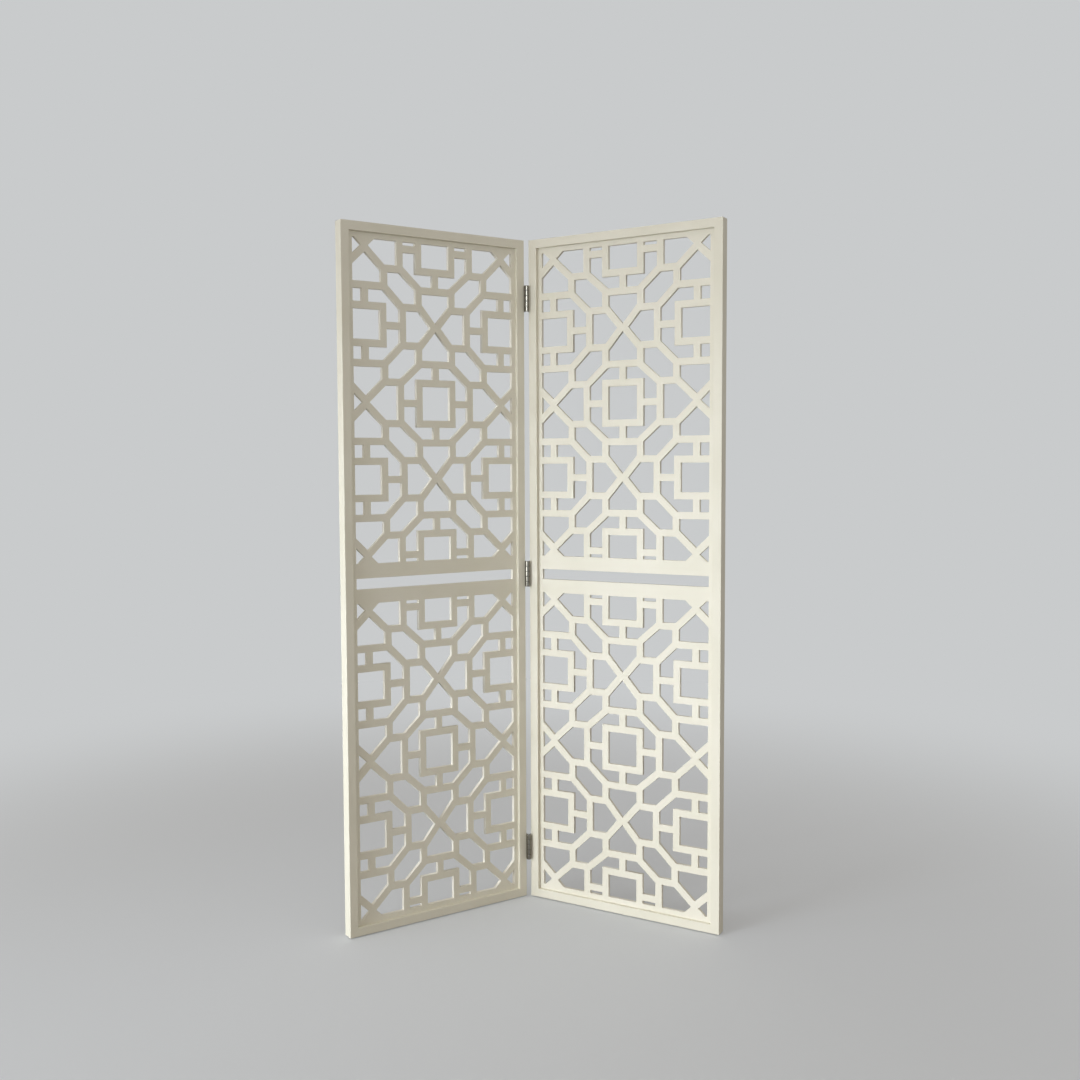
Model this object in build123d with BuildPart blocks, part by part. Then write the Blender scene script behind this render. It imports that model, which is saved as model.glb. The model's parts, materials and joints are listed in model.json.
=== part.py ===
"""Folding screen of two leaves. Each leaf is a grooved frame, stub-tenoned at its corners, round one board
pierced with a jali pattern. Three five-knuckle butt hinges join the leaves on their front side."""

from build123d import *
from math import atan2, ceil, cos, degrees, hypot, radians, sin, tan
import os

os.makedirs("parts", exist_ok=True)

# ------------------------------------------------------------------ driving sizes, millimetres and degrees
# Leaf frame
leaf_width = 545.0
leaf_height = 1800.0
frame_face = 23.0  # width of a stile or rail seen from the front
frame_depth = 30.0
arris = 1.0  # sanded edge rounding
opening_angle = 115.84  # between the two leaves as the screen stands

# Fret board in its groove
board_thickness = 10.0
board_setback = 9.0  # frame face to board face
board_tongue = 7.5  # board edge inside the groove
groove_room = 0.5  # beyond the board's edge in the stiles and the top rail
groove_play = 0.1  # at each face of the board and of the tenons
groove_stop = 4.0  # end wood that closes the stiles' grooves

# Pierced areas of the board: two windows with a slot between them
window_side_margin = 35.5  # leaf edge to window
window_end_margin = 37.0  # leaf end to window
middle_band = 36.5  # solid band between a window and the slot
slot_height = 27.6
cutter_diameter = 6.0  # what it can't enter stays solid

# Lattice: squares in rings alternate with crossings on a chequered grid of nodes
bar = 18.2
pitch_x = 202.9
pitch_z = 194.35
# nodes of the middle column
mid_square_w = 98.8
mid_square_h = 104.6
mid_ring_w = 207.5
mid_ring_h = 201.8
mid_ring_top = 91.2  # length of the ring's top and bottom sides
mid_ring_side = 98.4  # length of its left and right sides
mid_fork_w = 98.8  # between the upright legs of a crossing
mid_fork_h = 96.4  # between its level legs
mid_waist = 3.7  # the arms meet this far to each side of the node
mid_arm_x = 46.8
mid_arm_z = 50.9
# nodes of the side columns
side_square_w = 101.4
side_square_h = 93.0
side_ring_w = 213.9
side_ring_h = 193.2
side_ring_top = 109.8
side_ring_side = 91.1
side_fork_w = 109.0
side_fork_h = 104.6
side_waist = 3.4  # the arms meet this far above and below the node
side_arm_x = 53.3
side_arm_z = 53.85

# Glides under the stiles
glide_diameter = 18.0
glide_height = 2.5
glide_nail = 2.2
glide_nail_length = 13.0
nail_room = 1.0
nail_play = 0.05
glide_edge = 0.8

# Butt hinges
hinge_height = 70.0
barrel_diameter = 12.0
pin_diameter = 6.0
pin_fit = 0.01  # in the left knuckles, which hold the pin
pin_play = 0.05  # in the right knuckles, which turn on it
pin_chamfer = 0.5
knuckle_count = 5
knuckle_gap = 0.3
barrel_clearance = 0.4  # plate to the other leaf's knuckles
plate_thickness = 2.0
plate_reach = 25.0  # pin line to the back edge of a plate
plate_gap = 1.0  # between the plates when the leaves are flat
pin_standoff = 7.6  # pin line to the frame's front face
bottom_hinge_rise = 139.5  # leaf foot to hinge middle
top_hinge_drop = 155.5  # leaf top to hinge middle

# Hinge screws
screw_diameter = 3.5
screw_head = 7.0
screw_head_angle = 90.0
screw_play = 0.05
screw_bed = 4.0  # wood left between the screw's end and the groove
screw_end_margin = 11.5  # hinge end to first screw
screw_stagger = 2.75

# ------------------------------------------------------------------ sizes that follow
turn = (180 - opening_angle) / 2  # each leaf stands forward of the left-right line by this
across = cos(radians(turn))
forward = sin(radians(turn))
edge_gap = plate_gap + 2 * plate_thickness  # between the stiles' edges when the leaves are flat

groove_depth = board_tongue + groove_room
groove_width = board_thickness + 2 * groove_play
groove_middle = board_setback + board_thickness / 2
sight_width = leaf_width - 2 * frame_face
sight_height = leaf_height - 2 * frame_face

window_width = leaf_width - 2 * window_side_margin
window_height = (leaf_height - slot_height) / 2 - middle_band - window_end_margin
window_rise = window_end_margin + window_height / 2
lattice_columns = ceil(window_width / 2 / pitch_x)  # to each side of the middle one
lattice_rows = ceil(window_height / 2 / pitch_z)

# a rail's stub tenon fills the stile's groove between its stop and the board
tenon_width = frame_face - groove_depth - groove_stop - groove_play
tenon_length = board_tongue

pin_radius = pin_diameter / 2
barrel_radius = barrel_diameter / 2
knuckle_height = (hinge_height - (knuckle_count - 1) * knuckle_gap) / knuckle_count
knuckle_pitch = knuckle_height + knuckle_gap
hinge_feet = {
    "bottom": bottom_hinge_rise - hinge_height / 2,
    "middle": (leaf_height - hinge_height) / 2,
    "top": leaf_height - top_hinge_drop - hinge_height / 2,
}

screw_length = plate_thickness + frame_face - groove_depth - screw_bed
screw_head_depth = (screw_head - screw_diameter) / 2 / tan(radians(screw_head_angle / 2))
screw_set = (pin_standoff + plate_reach) / 2  # middle of the plate's bearing on the stile
screw_spots = [
    (-screw_set - screw_stagger, screw_end_margin),
    (-screw_set + screw_stagger, hinge_height / 2),
    (-screw_set - screw_stagger, hinge_height - screw_end_margin),
]

# ------------------------------------------------------------------ planes of the right leaf
# The pin line lies on the middle plane of the screen, placed so that the whole screen is centred
front_reach = (edge_gap / 2 + leaf_width - arris) * forward - (pin_standoff + arris) * across + arris
back_reach = (pin_standoff + frame_depth - arris) * across - (edge_gap / 2 + arris) * forward + arris
pin_y = (front_reach - back_reach) / 2
along_leaf = Vector(across, -forward, 0)
backward = Vector(forward, across, 0)

pin_plan = Plane(origin=(0, pin_y, glide_height), x_dir=along_leaf, z_dir=(0, 0, 1))
leaf_corner = pin_plan.from_local_coords(Vector(edge_gap / 2, pin_standoff, 0))
# seen from above: x runs from the hinge edge outwards, y from the front face backwards
leaf_plan = Plane(origin=leaf_corner, x_dir=along_leaf, z_dir=(0, 0, 1))
# seen from the front: x runs from the hinge edge outwards, y upwards
leaf_front = Plane(origin=leaf_corner, x_dir=along_leaf, z_dir=-backward)
# the joint between hinge stile and rails: x runs backwards, y upwards
hinge_joint = Plane(
    origin=leaf_plan.from_local_coords(Vector(frame_face, 0, 0)), x_dir=backward, z_dir=along_leaf
)
leaf_middle = hinge_joint.offset(sight_width / 2)
# outer face of a hinge plate, towards the other leaf: x runs forwards, y upwards
plate_face = Plane(
    origin=pin_plan.from_local_coords(Vector(plate_gap / 2, 0, 0)), x_dir=-backward, z_dir=-along_leaf
)
leaf_axis = Axis(leaf_corner, along_leaf)

# ------------------------------------------------------------------ shared sketches
# What rounding an arris takes off, centred on the corner of a square section
with BuildSketch() as arris_waste:
    Rectangle(2 * arris, 2 * arris)
    with GridLocations(2 * arris, 2 * arris, 2, 2):
        Circle(arris, mode=Mode.SUBTRACT)


def square_node(square_w, square_h, ring_w, ring_h, ring_top, ring_side):
    """A square inside an eight-sided ring, tied to it by a bar on each side. Sizes are to bar middles."""
    with BuildSketch() as node:
        with BuildLine():
            Polyline(
                (ring_top / 2, ring_h / 2),
                (ring_w / 2, ring_side / 2),
                (ring_w / 2, -ring_side / 2),
                (ring_top / 2, -ring_h / 2),
                (-ring_top / 2, -ring_h / 2),
                (-ring_w / 2, -ring_side / 2),
                (-ring_w / 2, ring_side / 2),
                (-ring_top / 2, ring_h / 2),
                close=True,
            )
        make_face()
        offset(amount=bar / 2, kind=Kind.INTERSECTION)
        offset(amount=-bar, kind=Kind.INTERSECTION, mode=Mode.SUBTRACT)
        Rectangle(ring_w, bar)
        Rectangle(bar, ring_h)
        Rectangle(square_w + bar, square_h + bar)
        Rectangle(square_w - bar, square_h - bar, mode=Mode.SUBTRACT)
    return node.sketch


def crossing_node(fork_w, fork_h, reach_x, reach_z, waist, arm_end):
    """Two crossing arms. Each end forks into an upright and a level leg, which run to the rings around."""
    run_x, run_z = arm_end[0] - waist[0], arm_end[1] - waist[1]
    middle = ((arm_end[0] + waist[0]) / 2, (arm_end[1] + waist[1]) / 2)
    with BuildSketch() as node:
        with Locations((fork_w / 2, fork_h / 2 - bar / 2)):
            Rectangle(bar, reach_z - fork_h / 2 + bar / 2, align=(Align.CENTER, Align.MIN))
        with Locations((fork_w / 2 - bar / 2, fork_h / 2)):
            Rectangle(reach_x - fork_w / 2 + bar / 2, bar, align=(Align.MIN, Align.CENTER))
        with Locations(middle):
            Rectangle(hypot(run_x, run_z), bar, rotation=degrees(atan2(run_z, run_x)))
        # the knee of the two arms that meet at one side of the waist
        with Locations(waist):
            Circle(bar / 2)
        mirror(about=Plane.YZ)
        mirror(about=Plane.XZ)
    return node.sketch


def node_spots(middle_column, squares):
    """Nodes of the middle column or of the side columns. Squares have row plus column even."""
    return [
        (column * pitch_x, row * pitch_z)
        for column in range(-lattice_columns, lattice_columns + 1)
        for row in range(-lattice_rows, lattice_rows + 1)
        if (column == 0) == middle_column and ((column + row) % 2 == 0) == squares
    ]


# What is cut out of one window: the window less the bars of the lattice
with BuildSketch() as window_waste:
    Rectangle(window_width, window_height)
    with Locations(node_spots(middle_column=True, squares=True)):
        add(
            square_node(mid_square_w, mid_square_h, mid_ring_w, mid_ring_h, mid_ring_top, mid_ring_side),
            mode=Mode.SUBTRACT,
        )
    with Locations(node_spots(middle_column=False, squares=True)):
        add(
            square_node(
                side_square_w, side_square_h, side_ring_w, side_ring_h, side_ring_top, side_ring_side
            ),
            mode=Mode.SUBTRACT,
        )
    with Locations(node_spots(middle_column=True, squares=False)):
        add(
            crossing_node(
                mid_fork_w,
                mid_fork_h,
                pitch_x - side_ring_w / 2,
                pitch_z - mid_ring_h / 2,
                (mid_waist, 0),
                (mid_arm_x, mid_arm_z),
            ),
            mode=Mode.SUBTRACT,
        )
    with Locations(node_spots(middle_column=False, squares=False)):
        add(
            crossing_node(
                side_fork_w,
                side_fork_h,
                pitch_x - mid_ring_w / 2,
                pitch_z - side_ring_h / 2,
                (0, side_waist),
                (side_arm_x, side_arm_z),
            ),
            mode=Mode.SUBTRACT,
        )


def cutter_enters(opening):
    """Whether the cutter fits into this opening of the lattice."""
    size = opening.bounding_box().size
    return min(size.X, size.Y) > cutter_diameter


window_openings = window_waste.faces().filter_by(cutter_enters)

# ------------------------------------------------------------------ frame of the right leaf
with BuildPart() as right_stile_blank:
    with BuildSketch(leaf_front):
        Rectangle(frame_face, leaf_height, align=(Align.MIN, Align.MIN))
    extrude(amount=-frame_depth)
    outer_edges = faces().sort_by(leaf_axis)[0].edges()
    fillet(outer_edges + edges().filter_by(leaf_axis), radius=arris)
    # the inner arrises stop at the rails, which butt against square wood
    with BuildSketch(leaf_plan.offset(frame_face)):
        with Locations((frame_face, 0), (frame_face, frame_depth)):
            add(arris_waste.sketch)
    extrude(amount=sight_height, mode=Mode.SUBTRACT)
    # one stopped groove takes the board and the tenons of both rails
    with BuildSketch(leaf_plan.offset(groove_stop)):
        with Locations((frame_face, groove_middle)):
            Rectangle(groove_depth, groove_width, align=(Align.MAX, Align.CENTER))
    extrude(amount=leaf_height - 2 * groove_stop, mode=Mode.SUBTRACT)
    with BuildSketch(leaf_plan):
        with Locations((frame_face / 2, frame_depth / 2)):
            Circle(glide_nail / 2 + nail_play)
    extrude(amount=glide_nail_length + nail_room, mode=Mode.SUBTRACT)

with BuildPart() as right_hinge_stile:
    add(right_stile_blank.part)
    with Locations(plate_face):
        with Locations([(0, foot) for foot in hinge_feet.values()]):
            with Locations(screw_spots):
                Hole(screw_diameter / 2 + screw_play, depth=screw_length + screw_play)

with BuildPart() as right_outer_stile:
    mirror(right_stile_blank.part, about=leaf_middle)

with BuildPart() as right_bottom_rail:
    with BuildSketch(hinge_joint):
        Rectangle(frame_depth, frame_face, align=(Align.MIN, Align.MIN))
        fillet(vertices(), radius=arris)
        # the board stands on the floor of this groove
        with Locations((groove_middle, frame_face)):
            Rectangle(groove_width, board_tongue, align=(Align.CENTER, Align.MAX), mode=Mode.SUBTRACT)
    extrude(amount=sight_width)
    # a stub tenon at each end, in line with the groove
    with BuildSketch(hinge_joint.offset(-tenon_length)):
        with Locations((groove_middle, frame_face - groove_depth)):
            Rectangle(board_thickness, tenon_width, align=(Align.CENTER, Align.MAX))
    extrude(amount=sight_width + 2 * tenon_length)

with BuildPart() as right_top_rail:
    with BuildSketch(hinge_joint):
        with Locations((0, leaf_height)):
            Rectangle(frame_depth, frame_face, align=(Align.MIN, Align.MAX))
        fillet(vertices(), radius=arris)
        with Locations((groove_middle, leaf_height - frame_face)):
            Rectangle(groove_width, groove_depth, align=(Align.CENTER, Align.MIN), mode=Mode.SUBTRACT)
    extrude(amount=sight_width)
    with BuildSketch(hinge_joint.offset(-tenon_length)):
        with Locations((groove_middle, leaf_height - frame_face + groove_depth)):
            Rectangle(board_thickness, tenon_width, align=(Align.CENTER, Align.MIN))
    extrude(amount=sight_width + 2 * tenon_length)

with BuildPart() as right_glides:
    with BuildSketch(leaf_plan):
        with Locations((frame_face / 2, frame_depth / 2), (leaf_width - frame_face / 2, frame_depth / 2)):
            Circle(glide_diameter / 2)
    extrude(amount=-glide_height)
    chamfer(edges().group_by(Axis.Z)[0], length=glide_edge)
    with BuildSketch(leaf_plan):
        with Locations((frame_face / 2, frame_depth / 2), (leaf_width - frame_face / 2, frame_depth / 2)):
            Circle(glide_nail / 2)
    extrude(amount=glide_nail_length)

# ------------------------------------------------------------------ pierced board of the right leaf
with BuildPart() as right_fret_board:
    with BuildSketch(leaf_front.offset(-board_setback)):
        with Locations((leaf_width / 2, leaf_height / 2)):
            Rectangle(sight_width + 2 * board_tongue, sight_height + 2 * board_tongue)
            Rectangle(window_width, slot_height, mode=Mode.SUBTRACT)
        with Locations((leaf_width / 2, window_rise), (leaf_width / 2, leaf_height - window_rise)):
            add(window_openings, mode=Mode.SUBTRACT)
    extrude(amount=-board_thickness)

# ------------------------------------------------------------------ butt hinges
# Plate and barrel of one hinge half, with its foot level with the leaf's foot
with BuildPart() as hinge_blank:
    with BuildSketch(pin_plan):
        Circle(barrel_radius)
        with Locations((plate_gap / 2, 0)):
            Rectangle(plate_thickness, plate_reach, align=(Align.MIN, Align.MIN))
    extrude(amount=hinge_height)
    with Locations(plate_face):
        with Locations(screw_spots):
            CounterSinkHole(
                screw_diameter / 2 + screw_play,
                screw_head / 2 + screw_play,
                counter_sink_angle=screw_head_angle,
            )


def hinge_half(other_knuckles, pin_room):
    """The blank less room for the other half's knuckles, bored for the pin."""
    with BuildPart() as half:
        add(hinge_blank.part)
        for knuckle in other_knuckles:
            with BuildSketch(pin_plan.offset(knuckle * knuckle_pitch - knuckle_gap)):
                Circle(barrel_radius + barrel_clearance)
            extrude(amount=knuckle_height + 2 * knuckle_gap, mode=Mode.SUBTRACT)
        with BuildSketch(pin_plan):
            Circle(pin_radius + pin_room)
        extrude(amount=hinge_height, mode=Mode.SUBTRACT)
    return half.part


# The left half has the first, third and fifth knuckles, and grips the pin
with BuildPart() as left_half:
    add(hinge_half(range(1, knuckle_count, 2), pin_fit))
    mirror(about=Plane.YZ, mode=Mode.REPLACE)

# The right half has the second and fourth, and turns on the pin
with BuildPart() as right_half:
    add(hinge_half(range(0, knuckle_count, 2), pin_play))

with BuildPart() as hinge_pin:
    with BuildSketch(pin_plan):
        Circle(pin_radius)
    extrude(amount=hinge_height)
    chamfer(edges().filter_by(GeomType.CIRCLE), length=pin_chamfer)

# Countersunk screw, head up, its face at the origin
with BuildPart() as hinge_screw:
    with BuildSketch(Plane.XZ):
        with BuildLine():
            Polyline(
                (0, 0),
                (screw_head / 2, 0),
                (screw_diameter / 2, -screw_head_depth),
                (screw_diameter / 2, -screw_length),
                (0, -screw_length),
                close=True,
            )
        make_face()
    revolve(axis=Axis.Z)

with BuildPart() as right_hinge_screws:
    with Locations(plate_face):
        with Locations([(0, foot) for foot in hinge_feet.values()]):
            with Locations(screw_spots):
                add(hinge_screw.part)

for level, foot in hinge_feet.items():
    with BuildPart() as left_plate:
        with Locations((0, 0, foot)):
            add(left_half.part)
    left_plate.part.label = f"{level}_hinge_left_plate"
    export_step(left_plate.part, f"parts/{level}_hinge_left_plate.step")

    with BuildPart() as right_plate:
        with Locations((0, 0, foot)):
            add(right_half.part)
    right_plate.part.label = f"{level}_hinge_right_plate"
    export_step(right_plate.part, f"parts/{level}_hinge_right_plate.step")

    with BuildPart() as pin:
        with Locations((0, 0, foot)):
            add(hinge_pin.part)
    pin.part.label = f"{level}_hinge_pin"
    export_step(pin.part, f"parts/{level}_hinge_pin.step")

# ------------------------------------------------------------------ both leaves
# The left leaf is the right one's mirror image, piece by piece
leaf_pieces = {
    "hinge_stile": right_hinge_stile,
    "outer_stile": right_outer_stile,
    "top_rail": right_top_rail,
    "bottom_rail": right_bottom_rail,
    "fret_board": right_fret_board,
    "glides": right_glides,
    "hinge_screws": right_hinge_screws,
}
for piece, right_piece in leaf_pieces.items():
    right_piece.part.label = f"right_{piece}"
    export_step(right_piece.part, f"parts/right_{piece}.step")

    with BuildPart() as left_piece:
        mirror(right_piece.part, about=Plane.YZ)
    left_piece.part.label = f"left_{piece}"
    export_step(left_piece.part, f"parts/left_{piece}.step")
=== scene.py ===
# %% [markdown]
# # A folding jali screen, painted cream
#
# The screen is two leaves joined by three butt hinges. Each leaf is a grooved frame of painted softwood
# round one fibreboard panel, and the jali pattern is cut right through that panel. Every piece comes in as
# a solid at its real size and place, so this lesson is about what the eye adds: paint, metal, light.

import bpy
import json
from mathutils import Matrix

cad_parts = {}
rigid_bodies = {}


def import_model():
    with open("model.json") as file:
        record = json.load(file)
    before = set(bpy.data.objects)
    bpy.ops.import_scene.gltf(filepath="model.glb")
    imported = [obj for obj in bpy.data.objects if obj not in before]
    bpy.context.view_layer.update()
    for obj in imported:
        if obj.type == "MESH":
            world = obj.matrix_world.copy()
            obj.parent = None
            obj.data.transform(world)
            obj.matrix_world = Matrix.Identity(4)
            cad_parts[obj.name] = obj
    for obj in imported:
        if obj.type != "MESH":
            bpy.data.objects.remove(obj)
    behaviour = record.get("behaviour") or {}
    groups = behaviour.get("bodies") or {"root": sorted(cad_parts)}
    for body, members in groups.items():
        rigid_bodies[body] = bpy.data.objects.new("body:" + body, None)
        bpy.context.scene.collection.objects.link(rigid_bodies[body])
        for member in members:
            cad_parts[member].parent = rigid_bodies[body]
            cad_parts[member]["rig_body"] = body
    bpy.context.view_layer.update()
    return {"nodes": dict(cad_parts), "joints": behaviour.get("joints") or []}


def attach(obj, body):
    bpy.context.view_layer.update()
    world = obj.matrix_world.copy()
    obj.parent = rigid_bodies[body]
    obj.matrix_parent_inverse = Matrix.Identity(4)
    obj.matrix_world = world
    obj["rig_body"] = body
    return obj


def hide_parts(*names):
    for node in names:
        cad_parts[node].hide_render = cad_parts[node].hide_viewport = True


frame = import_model()

# %% [markdown]
# ## Two helpers
#
# Colours are written as they look on a screen, in sRGB hex, and shaders want linear light, so one function
# turns the first into the second. Materials are graphs, and one small function adds a node to a graph with
# its settings and whatever feeds it.

# %% Helpers
import json
from math import cos, radians, sin

import bmesh
import bpy
from mathutils import Matrix, Vector


def linear(hex_colour):
    """An sRGB colour such as "#E8E3CF" as linear RGBA."""
    channels = [int(hex_colour[i : i + 2], 16) / 255 for i in (1, 3, 5)]
    return (*[c / 12.92 if c <= 0.04045 else ((c + 0.055) / 1.055) ** 2.4 for c in channels], 1.0)


def add_node(material, kind, inputs=None, **settings):
    """Add a node. Each input, by socket name or number, is a value to set or a socket to link."""
    tree = material.node_tree
    node = tree.nodes.new(kind)
    for name, value in settings.items():
        setattr(node, name, value)
    for name, value in (inputs or {}).items():
        if isinstance(value, bpy.types.NodeSocket):
            tree.links.new(value, node.inputs[name])
        else:
            node.inputs[name].default_value = value
    return node


print("cream", [round(c, 3) for c in linear("#E8E3CF")])

# %% [markdown]
# ## How the screen stands
#
# The hinge can open until the leaves lie flat in one plane. Each leaf stands forward of that plane by half
# of what is left to open, so the joint's own range says how far each leaf is turned. The wood grain has to
# follow that turn.

# %% The turn of each leaf
hinge = frame["joints"][0]
leaf_turn = radians(hinge["range_deg"][1] / 2)
turns = {"left": -leaf_turn, "right": leaf_turn}
hinge_line = Vector(hinge["pos_m"])
print("each leaf is turned", round(leaf_turn, 4), "rad about", hinge_line)

# %% [markdown]
# ## The camera
#
# The camera stands at chest height, three metres off, and is tipped slightly down. A small lens shift cuts
# the frame a little off centre. The image is taken as 1080 by 1080.

# %% Camera
IMAGE_SIZE = 1080
SENSOR_WIDTH = 36.0
focal_pixels = 1164.24
principal_x, principal_y = 476.5, 539.2
camera_place = Vector((-0.1585, -3.0448, 1.1968))
pitch, heading, roll = radians(-3.581), radians(-0.346), radians(-0.422)

forward = Vector((-sin(heading) * cos(pitch), cos(heading) * cos(pitch), sin(pitch)))
level_right = Vector((cos(heading), sin(heading), 0))
level_up = level_right.cross(forward)
right = cos(roll) * level_right + sin(roll) * level_up
up = cos(roll) * level_up - sin(roll) * level_right

camera_data = bpy.data.cameras.new("camera")
camera_data.sensor_width = SENSOR_WIDTH
camera_data.lens = focal_pixels * SENSOR_WIDTH / IMAGE_SIZE
camera_data.shift_x = (IMAGE_SIZE / 2 - principal_x) / IMAGE_SIZE
camera_data.shift_y = (principal_y - IMAGE_SIZE / 2) / IMAGE_SIZE
camera = bpy.data.objects.new("camera", camera_data)
camera_axes = Matrix((right, up, -forward)).transposed().to_4x4()
camera.matrix_world = Matrix.Translation(camera_place) @ camera_axes
bpy.context.scene.collection.objects.link(camera)
bpy.context.scene.camera = camera
print("lens", round(camera_data.lens, 2), "mm, shift", round(camera_data.shift_x, 4))

# %% [markdown]
# ## The floor
#
# A plain pale floor takes the screen's shadow. Away from the screen it fades into the backdrop, as a
# studio's curved sweep does, and the fade is only what the camera and the metal see, so it lights nothing.
# The floor throws back less light than it shows, or a cream screen would glow from below.

# %% Floor
BACKDROP = "#C9CBCC"
FLOOR_REACH = 30.0
FADE_FROM, FADE_TO = 0.5, 3.5
NEAREST_SWEEP = 0.2
FLOOR_PAINT, FLOOR_BOUNCE = "#DFE3E8", "#A5A29F"


def in_view(material):
    """A socket that is 1 for what the camera or a glossy surface sees, and 0 for light on the object."""
    ray = add_node(material, "ShaderNodeLightPath")
    return add_node(
        material,
        "ShaderNodeMath",
        {0: ray.outputs["Is Camera Ray"], 1: ray.outputs["Is Glossy Ray"]},
        operation="MAXIMUM",
    ).outputs[0]


floor_mesh = bpy.data.meshes.new("floor")
floor_corners = [(x * FLOOR_REACH, y * FLOOR_REACH, 0) for x, y in ((-1, -1), (1, -1), (1, 1), (-1, 1))]
floor_mesh.from_pydata(floor_corners, [], [(0, 1, 2, 3)])
floor = bpy.data.objects.new("floor", floor_mesh)
bpy.context.scene.collection.objects.link(floor)

pale_floor = bpy.data.materials.new("pale_floor")
pale_floor.use_nodes = True
floor_shader = pale_floor.node_tree.nodes["Principled BSDF"]
floor_shader.inputs["Roughness"].default_value = 0.8
floor_place = add_node(pale_floor, "ShaderNodeTexCoord").outputs["Object"]
from_middle = add_node(
    pale_floor, "ShaderNodeVectorMath", {0: floor_place}, operation="LENGTH"
).outputs["Value"]
fade = add_node(
    pale_floor,
    "ShaderNodeMapRange",
    {"Value": from_middle, "From Min": FADE_FROM, "From Max": FADE_TO, "To Min": NEAREST_SWEEP},
    interpolation_type="SMOOTHERSTEP",
).outputs["Result"]
floor_seen = in_view(pale_floor)
floor_colour = add_node(
    pale_floor,
    "ShaderNodeMix",
    {"Factor": floor_seen, 6: linear(FLOOR_BOUNCE), 7: linear(FLOOR_PAINT)},
    data_type="RGBA",
).outputs[2]
pale_floor.node_tree.links.new(floor_colour, floor_shader.inputs["Base Color"])
sweep_share = add_node(
    pale_floor, "ShaderNodeMath", {0: fade, 1: floor_seen}, operation="MULTIPLY"
).outputs[0]
sweep = add_node(pale_floor, "ShaderNodeEmission", {"Color": linear(BACKDROP)}).outputs[0]
floor_surface = add_node(
    pale_floor, "ShaderNodeMixShader", {"Fac": sweep_share, 1: floor_shader.outputs[0], 2: sweep}
).outputs[0]
floor_output = pale_floor.node_tree.nodes["Material Output"]
pale_floor.node_tree.links.new(floor_surface, floor_output.inputs["Surface"])
floor_mesh.materials.append(pale_floor)
print("floor", FLOOR_REACH * 2, "m across")

# %% [markdown]
# ## Soft light all round
#
# A studio's white walls fill the shade with soft light, and more of it comes from the side where the big
# lamps stand. So the world is bright towards the front left and dims to the other side. The camera and the
# metal see the plain backdrop instead.

# %% World
BRIGHT_SIDE = (-0.6, -0.8, 0.0)
BLEND_REACH = 0.8
DIM_LEVEL, BRIGHT_LEVEL = 0.3, 0.75

world = bpy.data.worlds.new("studio")
bpy.context.scene.world = world
world.use_nodes = True
world_light = world.node_tree.nodes["Background"]
world_light.inputs["Color"].default_value = linear("#F6EFE6")
world_place = add_node(world, "ShaderNodeTexCoord").outputs["Generated"]
towards_bright = add_node(
    world, "ShaderNodeVectorMath", {0: world_place, 1: BRIGHT_SIDE}, operation="DOT_PRODUCT"
)
world_strength = add_node(
    world,
    "ShaderNodeMapRange",
    {
        "Value": towards_bright.outputs["Value"],
        "From Min": -BLEND_REACH,
        "From Max": BLEND_REACH,
        "To Min": DIM_LEVEL,
        "To Max": BRIGHT_LEVEL,
    },
).outputs["Result"]
world.node_tree.links.new(world_strength, world_light.inputs["Strength"])
backdrop = add_node(world, "ShaderNodeBackground", {"Color": linear(BACKDROP)}).outputs[0]
world_surface = add_node(
    world, "ShaderNodeMixShader", {"Fac": in_view(world), 1: world_light.outputs[0], 2: backdrop}
).outputs[0]
world_output = world.node_tree.nodes["World Output"]
world.node_tree.links.new(world_surface, world_output.inputs["Surface"])
print("backdrop", BACKDROP)

# %% [markdown]
# ## Three soft boxes
#
# A soft box is a lamp behind a sheet of white cloth, so it is a glowing rectangle here. The large front one
# stands low on the left, nearly in the plane of the left leaf. It lights the right leaf's face, rakes past
# the left leaf's face and falls on the walls of its openings, which is what draws the pattern on that leaf.
# Its beam is narrowed, so that the screen is brightest towards the floor. A weak one further round to the
# left fills in. A small one stands high behind the camera: the top hinge mirrors it as a bright line up its
# knuckles, and it lifts the upper end of the screen a little.

# %% Lamps
def soft_box(name, place, aim, size, energy, spread):
    """A rectangular soft box of that width and height, turned to the point it is aimed at."""
    light = bpy.data.lights.new(name, "AREA")
    light.shape = "RECTANGLE"
    light.size, light.size_y = size
    light.energy = energy
    light.color = linear("#F2F9FF")[:3]
    light.spread = radians(spread)
    lamp = bpy.data.objects.new(name, light)
    lamp.location = place
    lamp.rotation_euler = (Vector(aim) - Vector(place)).to_track_quat("-Z", "Y").to_euler()
    bpy.context.scene.collection.objects.link(lamp)
    print(name, round((Vector(aim) - Vector(place)).length, 2), "m away,", energy, "W")


soft_box("front_soft_box", (-4.27, -3.08, 0.95), (0.15, -0.05, 0.25), (1.9, 1.8), 15.1, 46)
soft_box("side_soft_box", (-5.2, -1.1, 0.8), (0.0, -0.05, 0.5), (1.4, 1.8), 4.4, 50)
soft_box("high_soft_box", (0.5, -5.4, 2.42), (0.0, 0.12, 1.65), (1.0, 0.5), 1.4, 38)

# %% [markdown]
# ## Satin paint on softwood
#
# The frame is planed softwood, rolled and brushed with a cream satin paint. Satin means a roughness near
# 0.5 over the paint's usual index of 1.5. Rolling leaves an orange peel a few millimetres across, and under
# it the growth rings still telegraph as long faint ridges along each member. Both are bumps of hundredths
# of a millimetre. A slow drift in tone, about a hand wide, keeps large faces from looking printed.

# %% Painted wood
PEEL_SIZE = 0.0035
GRAIN_ACROSS = 0.004
GRAIN_ALONG = 0.22
TONE_PATCH = 0.16


def drifting_cream(material, tone, deeper, paler):
    """The colour of a paint that drifts from one tone to the other."""
    ramp = add_node(material, "ShaderNodeValToRGB", {"Fac": tone})
    for stop, position, colour in zip(ramp.color_ramp.elements, (0.3, 0.7), (deeper, paler)):
        stop.position = position
        stop.color = linear(colour)
    return ramp.outputs["Color"]


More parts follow.
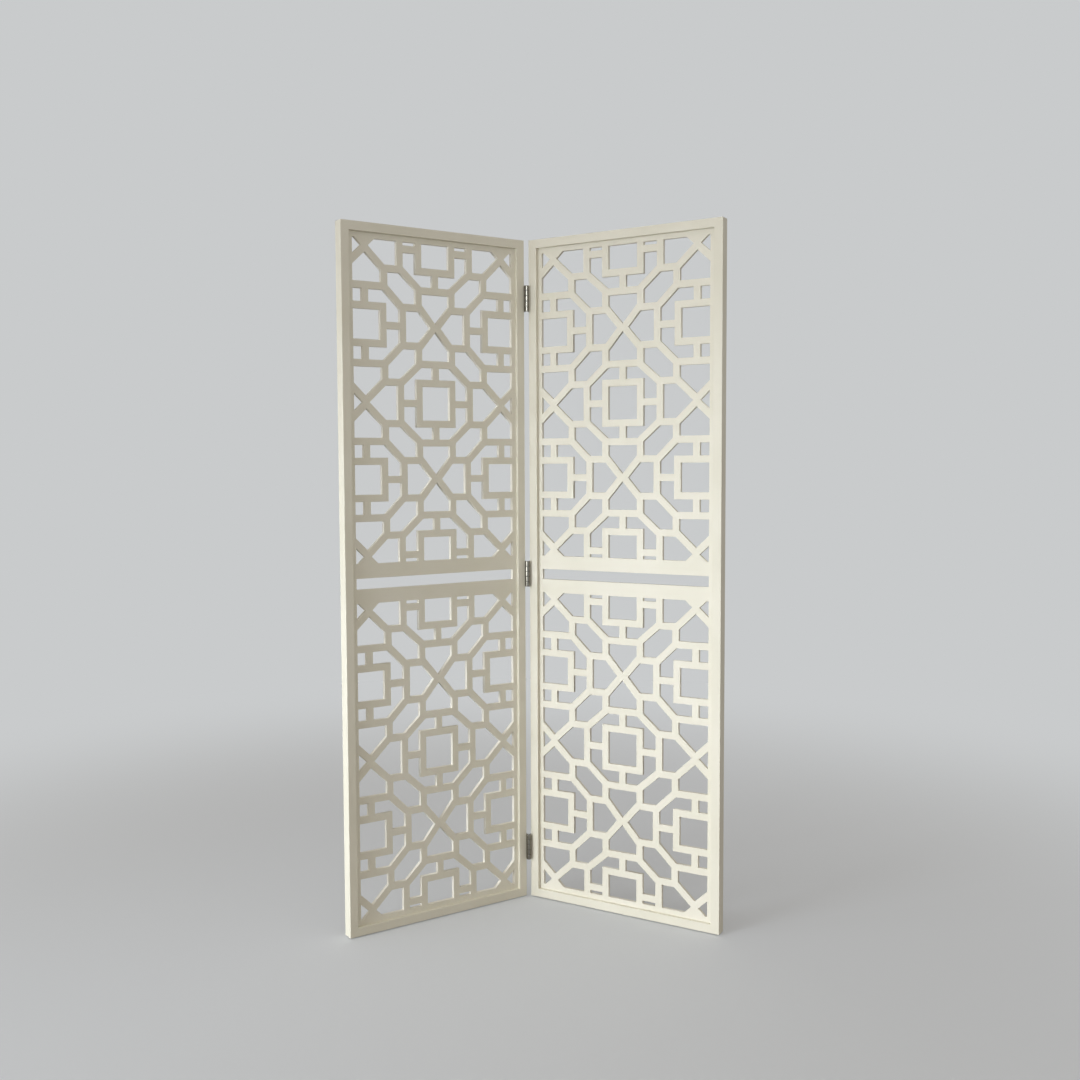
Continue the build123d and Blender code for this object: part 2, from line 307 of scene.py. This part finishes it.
def painted_wood(name, turn, upright):
    """Cream satin paint over softwood whose grain runs up, or along a leaf turned about Z."""
    material = bpy.data.materials.new(name)
    material.use_nodes = True
    shader = material.node_tree.nodes["Principled BSDF"]
    place = add_node(material, "ShaderNodeTexCoord").outputs["Object"]
    squared = add_node(
        material, "ShaderNodeMapping", {"Vector": place, "Rotation": (0, 0, turn)}
    ).outputs["Vector"]
    along, across = 1 / GRAIN_ALONG, 1 / GRAIN_ACROSS
    stretch = (across, across, along) if upright else (along, across, across)
    fibre_place = add_node(
        material, "ShaderNodeMapping", {"Vector": squared, "Scale": stretch}
    ).outputs["Vector"]
    fibre = add_node(
        material, "ShaderNodeTexNoise", {"Vector": fibre_place, "Scale": 1.0, "Detail": 3.0}
    ).outputs["Fac"]
    peel = add_node(
        material, "ShaderNodeTexNoise", {"Vector": squared, "Scale": 1 / PEEL_SIZE, "Detail": 2.0}
    ).outputs["Fac"]
    tone = add_node(
        material, "ShaderNodeTexNoise", {"Vector": squared, "Scale": 1 / TONE_PATCH, "Detail": 3.0}
    ).outputs["Fac"]
    colour = drifting_cream(material, tone, "#E2DECD", "#E9E5D6")
    gloss = add_node(
        material,
        "ShaderNodeMapRange",
        {"Value": peel, "From Min": 0.3, "From Max": 0.7, "To Min": 0.44, "To Max": 0.56},
    ).outputs["Result"]
    ridges = add_node(
        material, "ShaderNodeBump", {"Height": fibre, "Strength": 0.35, "Distance": 0.00008}
    ).outputs["Normal"]
    skin = add_node(
        material, "ShaderNodeBump", {"Height": peel, "Strength": 0.5, "Distance": 0.00006, "Normal": ridges}
    ).outputs["Normal"]
    links = material.node_tree.links
    links.new(colour, shader.inputs["Base Color"])
    links.new(gloss, shader.inputs["Roughness"])
    links.new(skin, shader.inputs["Normal"])
    shader.inputs["IOR"].default_value = 1.5
    return material


stile_paint = {side: painted_wood(f"{side}_stile_paint", turn, True) for side, turn in turns.items()}
rail_paint = {side: painted_wood(f"{side}_rail_paint", turn, False) for side, turn in turns.items()}
print("paints", [m.name for m in bpy.data.materials])

# %% [markdown]
# ## Sprayed paint on fibreboard
#
# The panel is medium density fibreboard, cut by a router and sprayed with the same cream satin. Its pressed
# faces take paint almost like card, with a very fine peel. The routed walls of the openings are open fibre,
# which drinks the first coats and dries rougher. Their colour is a shade whiter than the faces: painted
# light, standing for the strong light that rakes into the openings. The normal in the object's own space
# tells a face from a wall, so it keeps working when a leaf swings.

# %% Painted fibreboard
SPRAY_SIZE = 0.0018
FIBRE_SIZE = 0.0009
WALL_BELOW = 0.5


def painted_fibreboard(name, turn):
    """Cream satin sprayed on a routed fibreboard panel whose leaf is turned about Z."""
    material = bpy.data.materials.new(name)
    material.use_nodes = True
    shader = material.node_tree.nodes["Principled BSDF"]
    coordinates = add_node(material, "ShaderNodeTexCoord")
    place = coordinates.outputs["Object"]
    facing = add_node(
        material,
        "ShaderNodeVectorMath",
        {0: coordinates.outputs["Normal"], 1: (sin(turn), cos(turn), 0)},
        operation="DOT_PRODUCT",
    ).outputs["Value"]
    flat = add_node(material, "ShaderNodeMath", {0: facing}, operation="ABSOLUTE").outputs[0]
    wall = add_node(material, "ShaderNodeMath", {0: flat, 1: WALL_BELOW}, operation="LESS_THAN").outputs[0]
    spray, fibre, tone = [
        add_node(
            material, "ShaderNodeTexNoise", {"Vector": place, "Scale": 1 / size, "Detail": detail}
        ).outputs["Fac"]
        for size, detail in ((SPRAY_SIZE, 2.0), (FIBRE_SIZE, 4.0), (TONE_PATCH, 3.0))
    ]
    face_colour = drifting_cream(material, tone, "#E3DFCE", "#E9E5D7")
    # The walls' whiter colour is painted light, standing for the strong light that rakes into the openings.
    colour = add_node(
        material, "ShaderNodeMix", {"Factor": wall, 6: face_colour, 7: linear("#F0EDE2")}, data_type="RGBA"
    ).outputs[2]
    gloss = add_node(
        material, "ShaderNodeMapRange", {"Value": wall, "To Min": 0.5, "To Max": 0.66}
    ).outputs["Result"]
    skin = add_node(material, "ShaderNodeMix", {"Factor": wall, 2: spray, 3: fibre}).outputs[0]
    bump = add_node(
        material, "ShaderNodeBump", {"Height": skin, "Strength": 0.45, "Distance": 0.00005}
    ).outputs["Normal"]
    links = material.node_tree.links
    links.new(colour, shader.inputs["Base Color"])
    links.new(gloss, shader.inputs["Roughness"])
    links.new(bump, shader.inputs["Normal"])
    shader.inputs["IOR"].default_value = 1.5
    return material


board_paint = {side: painted_fibreboard(f"{side}_board_paint", turn) for side, turn in turns.items()}
print("board paint", board_paint["left"].name)

# %% [markdown]
# ## Nickel-plated steel
#
# The hinges are pressed steel strip, rolled round the pin, tumbled and nickel plated. Nickel is a warm grey
# metal. Bright plating keeps a clear mirror line, broken up by the fine lines that drawing the strip left
# along it. Years of handling darken it in patches. Where no finger reaches, between the knuckles, round the
# screw heads and in their recesses, the colour is darkened: partly a real film of oil and dust, and partly
# painted shade, since those crevices fall dark. Ambient occlusion over a millimetre or so finds those
# places.

# %% Hinge steel
DRAWN_LINE = 0.0007
BREAKS_PER_METRE = 12
DULL_PATCH = 0.009
CREVICE = 0.0016

hinge_steel = bpy.data.materials.new("nickel_plated_steel")
hinge_steel.use_nodes = True
steel_shader = hinge_steel.node_tree.nodes["Principled BSDF"]
steel_place = add_node(hinge_steel, "ShaderNodeTexCoord").outputs["Object"]
drawn_stretch = (1 / DRAWN_LINE, 1 / DRAWN_LINE, BREAKS_PER_METRE)
drawn_place = add_node(
    hinge_steel, "ShaderNodeMapping", {"Vector": steel_place, "Scale": drawn_stretch}
).outputs["Vector"]
drawn = add_node(
    hinge_steel, "ShaderNodeTexNoise", {"Vector": drawn_place, "Scale": 1.0, "Detail": 3.0}
).outputs["Fac"]
dull = add_node(
    hinge_steel, "ShaderNodeTexNoise", {"Vector": steel_place, "Scale": 1 / DULL_PATCH, "Detail": 4.0}
).outputs["Fac"]
# Ambient occlusion darkens the crevices towards #3B3730: partly a real film of oil and dust, partly painted
# shade.
open_air = add_node(
    hinge_steel, "ShaderNodeAmbientOcclusion", {"Distance": CREVICE}, samples=8
).outputs["AO"]
plating = add_node(
    hinge_steel,
    "ShaderNodeMix",
    {"Factor": dull, 6: linear("#A29E94"), 7: linear("#6E6A62")},
    data_type="RGBA",
).outputs[2]
clean_and_unshaded = add_node(
    hinge_steel, "ShaderNodeMapRange", {"Value": open_air, "From Min": 0.35, "From Max": 0.85}
).outputs["Result"]
steel_colour = add_node(
    hinge_steel, "ShaderNodeMix", {"Factor": clean_and_unshaded, 6: linear("#3B3730"), 7: plating}, data_type="RGBA"
).outputs[2]
steel_gloss = add_node(
    hinge_steel,
    "ShaderNodeMapRange",
    {"Value": drawn, "From Min": 0.3, "From Max": 0.7, "To Min": 0.07, "To Max": 0.18},
).outputs["Result"]
steel_bump = add_node(
    hinge_steel, "ShaderNodeBump", {"Height": drawn, "Strength": 0.3, "Distance": 0.00003}
).outputs["Normal"]
steel_shader.inputs["Metallic"].default_value = 1.0
hinge_steel.node_tree.links.new(steel_colour, steel_shader.inputs["Base Color"])
hinge_steel.node_tree.links.new(steel_gloss, steel_shader.inputs["Roughness"])
hinge_steel.node_tree.links.new(steel_bump, steel_shader.inputs["Normal"])
print("steel", hinge_steel.name)

# %% [markdown]
# ## Moulded nylon
#
# The glides under the stiles are moulded nylon: milky, with the fine matt of a spark-eroded mould. Only
# their thin rims show, so one plain colour will do.

# %% Nylon
MOULD_GRAIN = 0.0006

nylon = bpy.data.materials.new("moulded_nylon")
nylon.use_nodes = True
nylon_shader = nylon.node_tree.nodes["Principled BSDF"]
nylon_place = add_node(nylon, "ShaderNodeTexCoord").outputs["Object"]
grain = add_node(
    nylon, "ShaderNodeTexNoise", {"Vector": nylon_place, "Scale": 1 / MOULD_GRAIN, "Detail": 2.0}
).outputs["Fac"]
nylon_bump = add_node(
    nylon, "ShaderNodeBump", {"Height": grain, "Strength": 0.4, "Distance": 0.00003}
).outputs["Normal"]
nylon_shader.inputs["Base Color"].default_value = linear("#D9D5C8")
nylon_shader.inputs["Roughness"].default_value = 0.5
nylon_shader.inputs["IOR"].default_value = 1.53
nylon.node_tree.links.new(nylon_bump, nylon_shader.inputs["Normal"])
print("nylon", nylon.name)

# %% [markdown]
# ## Give each piece its finish
#
# A piece's name says which leaf it belongs to and what it is, so its finish follows from its name.

# %% Finishes
def finish_for(name):
    """The material of the piece with that name."""
    side = "left" if "left" in name else "right"
    if "stile" in name:
        return stile_paint[side]
    if "rail" in name:
        return rail_paint[side]
    if "board" in name:
        return board_paint[side]
    if "glides" in name:
        return nylon
    return hinge_steel


for name, node in frame["nodes"].items():
    node.data.materials.clear()
    node.data.materials.append(finish_for(name))
print({name: node.data.materials[0].name for name, node in frame["nodes"].items()})

# %% [markdown]
# ## Edges that are not sharp
#
# No edge of a real screen is sharp. The routed openings are rubbed down before they are sprayed, and hinges
# are tumbled with grit until every corner is soft. That thin rounded edge is what catches the light round
# each bar of the pattern. The solids keep their edges sharp, so a copy of each such piece gets a bevel and
# stands for the solid. The copy is welded first, because an imported mesh is split where its faces meet,
# and flat faces are put back in one piece, so that a bevel runs along a clean edge.

# %% Bevelled copies
MILLIMETRE = 0.001
WELD = 3e-5
FLAT_WITHIN = radians(0.2)
SMOOTH_UP_TO = radians(50)
SHARP_FROM = radians(60)


def welded(mesh):
    """The mesh as one skin, with each flat face in one piece."""
    shape = bmesh.new()
    shape.from_mesh(mesh)
    bmesh.ops.remove_doubles(shape, verts=shape.verts, dist=WELD)
    bmesh.ops.dissolve_limit(shape, angle_limit=FLAT_WITHIN, verts=shape.verts, edges=shape.edges)
    return shape


def stand_in(name, suffix, shape):
    """An object made from that shape that stands for the solid of that name, on the same body."""
    node = frame["nodes"][name]
    mesh = bpy.data.meshes.new(f"{name}_{suffix}")
    shape.to_mesh(mesh)
    shape.free()
    mesh.materials.append(node.data.materials[0])
    mesh.shade_smooth()
    mesh.set_sharp_from_angle(angle=SMOOTH_UP_TO)
    piece = bpy.data.objects.new(mesh.name, mesh)
    bpy.context.scene.collection.objects.link(piece)
    even = piece.modifiers.new("even_shading", "WEIGHTED_NORMAL")
    even.keep_sharp = True
    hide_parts(name)
    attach(piece, node["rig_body"])
    print(piece.name, len(mesh.polygons), "faces")


def eased_copy(name, suffix, easings):
    """A copy of a solid with rounded edges. Each easing is a radius, its segments and an edge test."""
    shape = welded(frame["nodes"][name].data)
    for radius, segments, is_eased in easings:
        edges = [edge for edge in shape.edges if edge.is_manifold and is_eased(edge)]
        bmesh.ops.bevel(
            shape,
            geom=edges,
            offset=radius,
            segments=segments,
            profile=0.5,
            affect="EDGES",
            clamp_overlap=False,
        )
        print(len(edges), "edges rounded to", round(radius / MILLIMETRE, 2), "mm")
    stand_in(name, suffix, shape)


# %% [markdown]
# ## Openings rubbed down
#
# A router leaves the rim of each opening sharp, and fine paper takes it off before the primer goes on, by
# about half a millimetre. Only the edges that run in the board's own plane are such rims. Those that run
# through its thickness are the corners where two walls meet, and they stay as they were cut.

# %% Openings of the fret boards
OPENING_EASE = 0.0006


def opening_rim(turn):
    """A test for the edges between the board's faces and the walls of its openings."""
    through = Vector((sin(turn), cos(turn), 0))

    def is_rim(edge):
        run = (edge.verts[1].co - edge.verts[0].co).normalized()
        return edge.calc_face_angle() > SHARP_FROM and abs(run.dot(through)) < 0.5

    return is_rim


for side, turn in turns.items():
    eased_copy(f"{side}_fret_board", "rubbed_down", [(OPENING_EASE, 2, opening_rim(turn))])

# %% [markdown]
# ## Knuckles and plates
#
# The rolled knuckles are rounded more than the flat of a plate, because the strip's end is dressed before
# it is rolled. The edges round a knuckle's end lie at the barrel's radius from the pin line, and what lies
# further out belongs to the flat.

# %% Tumbled hinges
BARREL_RADIUS = 0.006
RADIUS_SLACK = 2e-5
KNUCKLE_EASE = 0.001
SHORT_EDGE = 0.0005
FLAT_START = 0.009
PLATE_EASE = 0.0006


def is_knuckle_end(edge):
    """Whether an edge runs round the end of a knuckle."""
    reaches = [(vert.co - hinge_line).xy.length for vert in edge.verts]
    clear = all(other.calc_length() > SHORT_EDGE for vert in edge.verts for other in vert.link_edges)
    on_barrel = all(abs(reach - BARREL_RADIUS) < RADIUS_SLACK for reach in reaches)
    return edge.calc_face_angle() > SHARP_FROM and on_barrel and clear


def is_plate_edge(edge):
    """Whether an edge is part of the outline of the flat, and long enough to be rounded."""
    reach = max((vert.co - hinge_line).xy.length for vert in edge.verts)
    long_enough = edge.calc_length() > 2 * PLATE_EASE
    return edge.calc_face_angle() > SHARP_FROM and reach > FLAT_START and long_enough


for name in [name for name in frame["nodes"] if name.endswith("plate")]:
    eased_copy(name, "tumbled", [(KNUCKLE_EASE, 4, is_knuckle_end), (PLATE_EASE, 3, is_plate_edge)])

# %% [markdown]
# ## Wood screws
#
# Nine countersunk wood screws hold each leaf's half of the hinges. A real one is headed from wire, and its
# cross recess is punched with a tapered tool. So half its outline is spun round its axis, as on a lathe,
# and a tapered cross is cut out of the head with a boolean. That is done once, in millimetres.

# %% One screw
SCREW_OUTLINE = [
    (0, 0), (3.15, 0), (3.32, -0.03), (3.4, -0.1), (1.75, -1.75), (1.75, -11.6), (0.9, -12.5), (0, -13)
]
SCREW_STEPS = 40
SEAM = 1e-4
PUNCH_TOP, PUNCH_TIP, PUNCH_DEPTH = (2.2, 0.55), (0.85, 0.32), 1.9
PUNCH_START = 0.3

turned = bmesh.new()
profile = [turned.verts.new((radius, 0, height)) for radius, height in SCREW_OUTLINE]
profile_line = [turned.edges.new(pair) for pair in zip(profile, profile[1:])]
bmesh.ops.spin(
    turned,
    geom=profile + profile_line,
    axis=(0, 0, 1),
    cent=(0, 0, 0),
    angle=radians(360),
    steps=SCREW_STEPS,
)
bmesh.ops.remove_doubles(turned, verts=turned.verts, dist=SEAM)
bmesh.ops.recalc_face_normals(turned, faces=turned.faces)

punch = bmesh.new()
rings = []
for (wing, half), height in ((PUNCH_TOP, PUNCH_START), (PUNCH_TIP, -PUNCH_DEPTH)):
    corners = [
        Matrix.Rotation(radians(90 * quarter), 3, "Z") @ Vector((x, y, height))
        for quarter in range(4)
        for x, y in ((wing, -half), (wing, half), (half, half))
    ]
    rings.append([punch.verts.new(corner) for corner in corners])
punch.faces.new(rings[0])
punch.faces.new(rings[1][::-1])
for here in range(len(rings[0])):
    after = (here + 1) % len(rings[0])
    punch.faces.new((rings[0][here], rings[1][here], rings[1][after], rings[0][after]))

blanks = []
for name, shape in (("turned_screw", turned), ("screw_punch", punch)):
    mesh = bpy.data.meshes.new(name)
    shape.to_mesh(mesh)
    shape.free()
    blanks.append(bpy.data.objects.new(name, mesh))
    bpy.context.scene.collection.objects.link(blanks[-1])
recess = blanks[0].modifiers.new("recess", "BOOLEAN")
recess.object = blanks[1]
recess.solver = "EXACT"
screw_mesh = bpy.data.meshes.new_from_object(blanks[0].evaluated_get(bpy.context.evaluated_depsgraph_get()))
for blank in blanks:
    bpy.data.objects.remove(blank)
print("screw", len(screw_mesh.polygons), "faces")

# %% [markdown]
# ## Screws driven home
#
# Each solid screw gives the place of a copy: its head is the one flat face that looks out of the leaf's
# edge. A driver stops where the head bites, so no two screws of a leaf stop at the same turn.

# %% Every screw in its place
SCREW_TURN = radians(137.5)
LOOKS_OUT = 0.999

for side, sense in (("left", 1), ("right", -1)):
    outward = Vector((sense * cos(leaf_turn), sin(leaf_turn), 0))
    upward = Vector((0, 0, 1))
    solids = welded(frame["nodes"][f"{side}_hinge_screws"].data)
    heads = [face.calc_center_median() for face in solids.faces if face.normal.dot(outward) > LOOKS_OUT]
    solids.free()
    screws = bmesh.new()
    for count, head in enumerate(sorted(heads, key=lambda place: place.z)):
        set_out = Matrix((upward, outward.cross(upward), outward)).transposed().to_4x4()
        stopped_at = Matrix.Rotation(count * SCREW_TURN, 4, "Z")
        place = Matrix.Translation(head) @ set_out @ stopped_at @ Matrix.Scale(MILLIMETRE, 4)
        earlier = len(screws.verts)
        screws.from_mesh(screw_mesh)
        screws.verts.ensure_lookup_table()
        bmesh.ops.transform(screws, matrix=place, verts=screws.verts[earlier:])
    stand_in(f"{side}_hinge_screws", "punched", screws)
    print(side, len(heads), "screws")

# %% [markdown]
# ## Colour management
#
# The Standard view shows colours as written.

# %% Finish
bpy.context.scene.view_settings.view_transform = "Standard"
